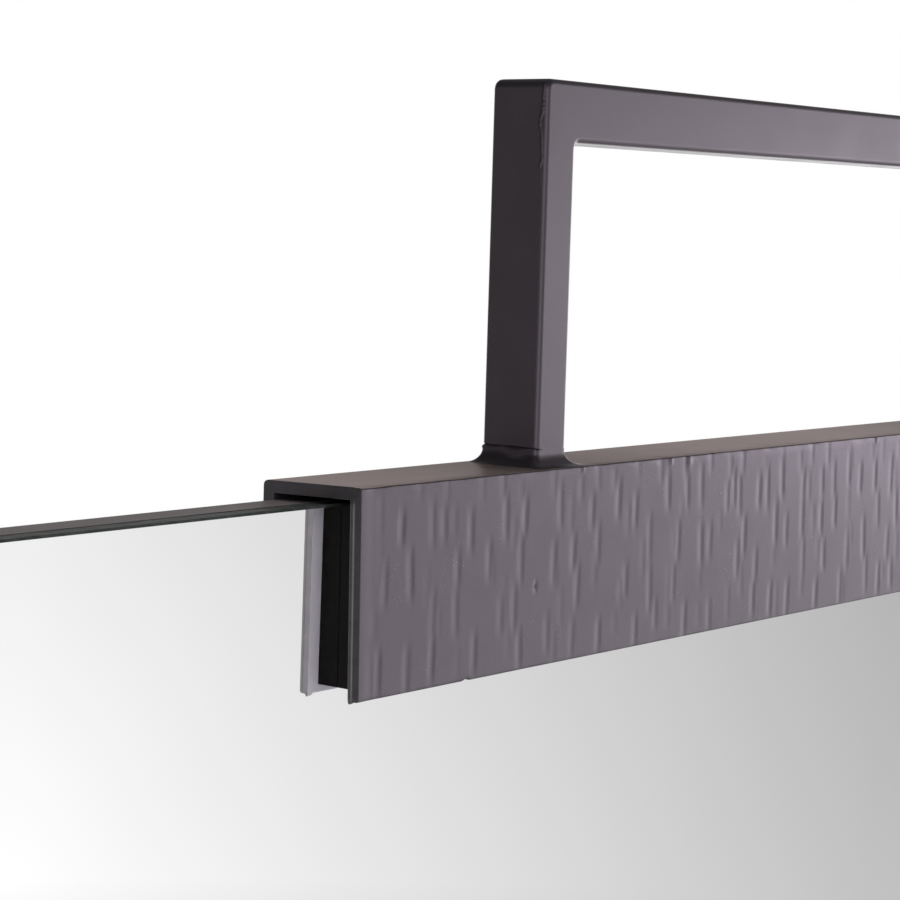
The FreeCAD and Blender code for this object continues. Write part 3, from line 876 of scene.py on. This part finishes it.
def forge_hoop():
    """The hoop's front outline, rounded, extruded to the bar's depth, eased and flared."""
    rail_low, rail_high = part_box("hoop_rail")
    post_low, post_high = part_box("hoop_left_post")
    weld_low, weld_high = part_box("weld_left")
    outer, inner = rail_high.x, -post_high.x
    weld_top = weld_high.z
    outline = (
        (-outer, weld_top),
        (-outer, rail_high.z),
        (outer, rail_high.z),
        (outer, weld_top),
        (inner, weld_top),
        (inner, rail_low.z),
        (-inner, rail_low.z),
        (-inner, weld_top),
    )
    hoop = bmesh.new()
    corners = [hoop.verts.new((x, rail_low.y, z)) for x, z in outline]
    hoop.faces.new(corners)
    outside = [Vector((x, rail_low.y, rail_high.z)) for x in (-outer, outer)]
    inside = [Vector((x, rail_low.y, rail_low.z)) for x in (-inner, inner)]
    round_off(hoop, outside, 2.6 * MM, 4)
    round_off(hoop, inside, 1.6 * MM, 3)
    pulled = bmesh.ops.extrude_face_region(hoop, geom=hoop.faces[:])
    moved = [item for item in pulled["geom"] if isinstance(item, bmesh.types.BMVert)]
    bmesh.ops.translate(hoop, verts=moved, vec=(0, rail_high.y - rail_low.y, 0))
    bmesh.ops.recalc_face_normals(hoop, faces=hoop.faces)
    feet = [
        face
        for face in hoop.faces
        if face.normal.z < -0.9 and face.calc_center_median().z < weld_top + MM
    ]
    bmesh.ops.delete(hoop, geom=feet, context="FACES_ONLY")
    long_edges = [
        edge
        for edge in hoop.edges
        if not edge.is_boundary and abs(edge.verts[0].co.y - edge.verts[1].co.y) < MM
    ]
    bmesh.ops.bevel(
        hoop,
        geom=long_edges,
        offset=HOOP_EDGE,
        offset_type="OFFSET",
        segments=6,
        profile=0.5,
        affect="EDGES",
        material=-1,
        clamp_overlap=True,
    )
    half = (post_high - post_low) / 2
    reach = weld_high - post_high
    for side in (-1, 1):
        centre = Vector((side * (outer + inner) / 2, (post_low.y + post_high.y) / 2, 0))
        ring = [edge for edge in hoop.edges if edge.is_boundary and side * edge.verts[0].co.x > 0]
        lowest = min(edge.verts[0].co.z for edge in ring)
        ring = [edge for edge in ring if max(vert.co.z for vert in edge.verts) < lowest + MM]
        straight = [edge for edge in ring if edge.calc_length() > 3 * MM]
        bmesh.ops.subdivide_edges(hoop, edges=straight, cuts=15)
        ring = [
            edge
            for edge in hoop.edges
            if edge.is_boundary and side * edge.verts[0].co.x > 0 and edge.verts[0].co.z < lowest + MM
        ]
        toe = foot_ring(hoop, ring, centre, half, reach, weld_high.z - weld_low.z, 10)
        bmesh.ops.holes_fill(hoop, edges=toe, sides=0)
    return hoop


def cracked_corner(material):
    """Add a wandering crack in the paint, down the left post's front corner from the mitre."""
    low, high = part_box("hoop_rail")
    parts = add_node(material, "ShaderNodeSeparateXYZ", {"Vector": object_place(material)}).outputs
    wander = between(material, grain(material, 6 * MM, detail=5), -0.8 * MM, 0.8 * MM)
    line = calculate(material, "ADD", parts["Y"], wander)
    distance = calculate(material, "ABSOLUTE", calculate(material, "SUBTRACT", line, low.y + 0.7 * HOOP_EDGE))
    edge = between(material, distance, 1.0, 0.0, 0.08 * MM, 0.4 * MM)
    upper = between(material, parts["Z"], 0.0, 1.0, high.z - 27 * MM, high.z - 19 * MM)
    left = between(material, parts["X"], 1.0, 0.0, low.x + 3 * MM, low.x + 4 * MM)
    crack = calculate(material, "MULTIPLY", edge, calculate(material, "MULTIPLY", upper, left))
    earlier = material.node_tree.nodes["Principled BSDF"].inputs["Normal"].links[0].from_socket
    set_surface(material, Normal=relief(material, crack, 0.3 * MM, earlier))
    return material


# bend=0.6 darkens the hoop's upper edges: painted shade.
bar_paint = iron_paint(
    "satin_iron_paint", (0.177, 0.154, 0.179), (0.195, 0.169, 0.197), 0.01 * MM, 0.39, bend=0.6
)
hoop = set_down(forge_hoop(), "welded_hoop", [cracked_corner(bar_paint)])
fit(hoop, "mirror", "satin_iron", "hoop_left_post", "hoop_right_post", "hoop_rail", "weld_left", "weld_right")

# ---------------------------------------------------------------------------------------
# The room: a pale floor below the mirror and a white background. Soft lamps stand at the
# right front, above and below. The camera is close to the left end of the channel.


def lay_floor():
    """A pale disc that fades out into the white background, and can be seen through from below."""
    floor_mesh = bpy.data.meshes.new("floor")
    disc = bmesh.new()
    radius = 3.0
    bmesh.ops.create_circle(disc, cap_ends=True, radius=radius, segments=96)
    bmesh.ops.translate(disc, vec=(0, 0, cad_box[0][2] - 30 * MM), verts=disc.verts)
    disc.to_mesh(floor_mesh)
    disc.free()
    material = new_material("pale_floor")
    cloud = grain(material, 200 * MM)
    set_surface(
        material,
        Base_Color=two_tone(material, cloud, (0.86, 0.86, 0.86), (0.88, 0.88, 0.88)),
        Roughness=between(material, cloud, 0.75, 0.85),
        Normal=relief(material, cloud, 0.2 * MM),
    )
    tree = material.node_tree
    place = object_place(material)
    flat = add_node(material, "ShaderNodeVectorMath", {0: place, 1: (1, 1, 0)}, operation="MULTIPLY")
    far = add_node(material, "ShaderNodeVectorMath", {0: flat.outputs["Vector"]}, operation="LENGTH")
    outer = between(material, far.outputs["Value"], 0.0, 1.0, 0.5 * radius, 0.98 * radius)
    underneath = add_node(material, "ShaderNodeNewGeometry", {}).outputs["Backfacing"]
    clear = calculate(material, "MAXIMUM", outer, underneath)
    gone = add_node(material, "ShaderNodeBsdfTransparent", {})
    surface = tree.nodes["Principled BSDF"]
    mixed = add_node(
        material,
        "ShaderNodeMixShader",
        {0: clear, 1: surface.outputs["BSDF"], 2: gone.outputs["BSDF"]},
    )
    tree.links.new(mixed.outputs["Shader"], tree.nodes["Material Output"].inputs["Surface"])
    floor_mesh.materials.append(material)
    floor = bpy.data.objects.new("floor", floor_mesh)
    bpy.context.scene.collection.objects.link(floor)
    floor.visible_glossy = False


def bearing_tones(world, bearing, tones):
    """A grey for each bearing in degrees: 0 is straight in front of the mirror, 90 to its right."""
    turn = between(world, bearing, 0.0, 1.0, -math.pi, math.pi)
    ramp = add_node(world, "ShaderNodeValToRGB", {"Fac": turn})
    stops = ramp.color_ramp.elements
    while len(stops) < len(tones):
        stops.new(0.5)
    for stop, (degrees, tone) in zip(stops, tones):
        stop.position = (degrees + 180) / 360
        stop.color = (tone, tone, tone, 1)
    return ramp.outputs["Color"]


def light_room():
    """White to the camera. Mirrored rays see a studio that is bright in front and falls off to its sides."""
    world = bpy.data.worlds.new("studio")
    bpy.context.scene.world = world
    world.use_nodes = True
    tree = world.node_tree
    background = tree.nodes["Background"]
    way = tree.nodes.new("ShaderNodeTexCoord").outputs["Generated"]
    parts = add_node(world, "ShaderNodeSeparateXYZ", {"Vector": way}).outputs
    ahead = calculate(world, "MULTIPLY", parts["Y"], -1.0)
    bearing = calculate(world, "ARCTAN2", parts["X"], ahead)
    mirrored = bearing_tones(
        world,
        bearing,
        ((-180, 0.13), (-120, 0.12), (-64, 0.07), (-48, 0.75), (-24, 0.8), (-14, 0.3), (26, 0.14), (36, 0.89),
         (42, 0.865), (52, 0.655), (63, 0.44), (67, 0.6), (73, 1.9), (98, 2.1), (114, 2.5), (128, 1.8),
         (150, 1.8), (180, 0.14)),
    )
    spread = bearing_tones(
        world,
        bearing,
        ((-180, 0.08), (-100, 0.12), (-60, 1.4), (-20, 1.3), (30, 0.4), (90, 0.3), (180, 0.2)),
    )
    slope = between(world, parts["Z"], 1.18, 0.6, -0.26, 0.2)
    ceiling = between(world, parts["Z"], 1.0, 0.12, 0.16, 0.4)
    sloped = dim(world, mirrored, calculate(world, "MULTIPLY", slope, ceiling))
    below = between(world, parts["Z"], 1.0, 0.0, -0.42, -0.26)
    glossy = mix_colours(world, below, sloped, (0.35, 0.35, 0.35, 1))
    rays = tree.nodes.new("ShaderNodeLightPath").outputs
    scattered = calculate(world, "GREATER_THAN", rays["Diffuse Depth"], 0.5)
    lit = mix_colours(world, scattered, glossy, spread)
    seen = mix_colours(world, rays["Is Camera Ray"], lit, (1, 1, 1, 1))
    tree.links.new(seen, background.inputs["Color"])


def hang_lamp(name, place, target, width, watts, tint, mirrored=False):
    """A soft square lamp. Unless it is mirrored, it lights the object but isn't seen in gloss."""
    data = bpy.data.lights.new(name, "AREA")
    data.size = width
    data.energy = watts
    data.color = tint
    lamp = bpy.data.objects.new(name, data)
    lamp.location = place
    lamp.rotation_euler = (Vector(target) - Vector(place)).to_track_quat("-Z", "Y").to_euler()
    lamp.visible_glossy = mirrored
    lamp.visible_camera = False
    bpy.context.scene.collection.objects.link(lamp)


def set_camera():
    """A long lens near the channel's left end, looking along it and a little down."""
    data = bpy.data.cameras.new("camera")
    data.lens = 100
    data.sensor_width = 36
    data.clip_start = 0.01
    camera = bpy.data.objects.new("camera", data)
    yaw, pitch, roll = math.radians(51.795), math.radians(5.255), math.radians(1.676)
    turn = Matrix.Rotation(-yaw, 3, "Z") @ Matrix.Rotation(math.pi / 2 - pitch, 3, "X")
    turn = turn @ Matrix.Rotation(roll, 3, "Z")
    camera.matrix_world = Matrix.Translation((-0.635597, -0.401486, 0.211766)) @ turn.to_4x4()
    bpy.context.scene.collection.objects.link(camera)
    bpy.context.scene.camera = camera


lay_floor()
light_room()
header_middle = (0.0, -0.03, 0.13)
hang_lamp("key", (0.55, -0.35, 0.25), header_middle, 0.22, 5, (0.98, 0.97, 1.0))
hang_lamp("glint", (0.62, -0.34, 0.18), (0.05, -0.03, 0.13), 0.16, 0.26, (0.98, 0.97, 1.0), mirrored=True)
hang_lamp("top", (0.1, 0.2, 1.3), header_middle, 0.8, 13, (1.0, 0.94, 0.88))
hang_lamp("under", (0.3, -0.5, -0.6), header_middle, 0.5, 2, (1.0, 0.99, 0.98))
set_camera()
bpy.context.scene.view_settings.view_transform = "Standard"
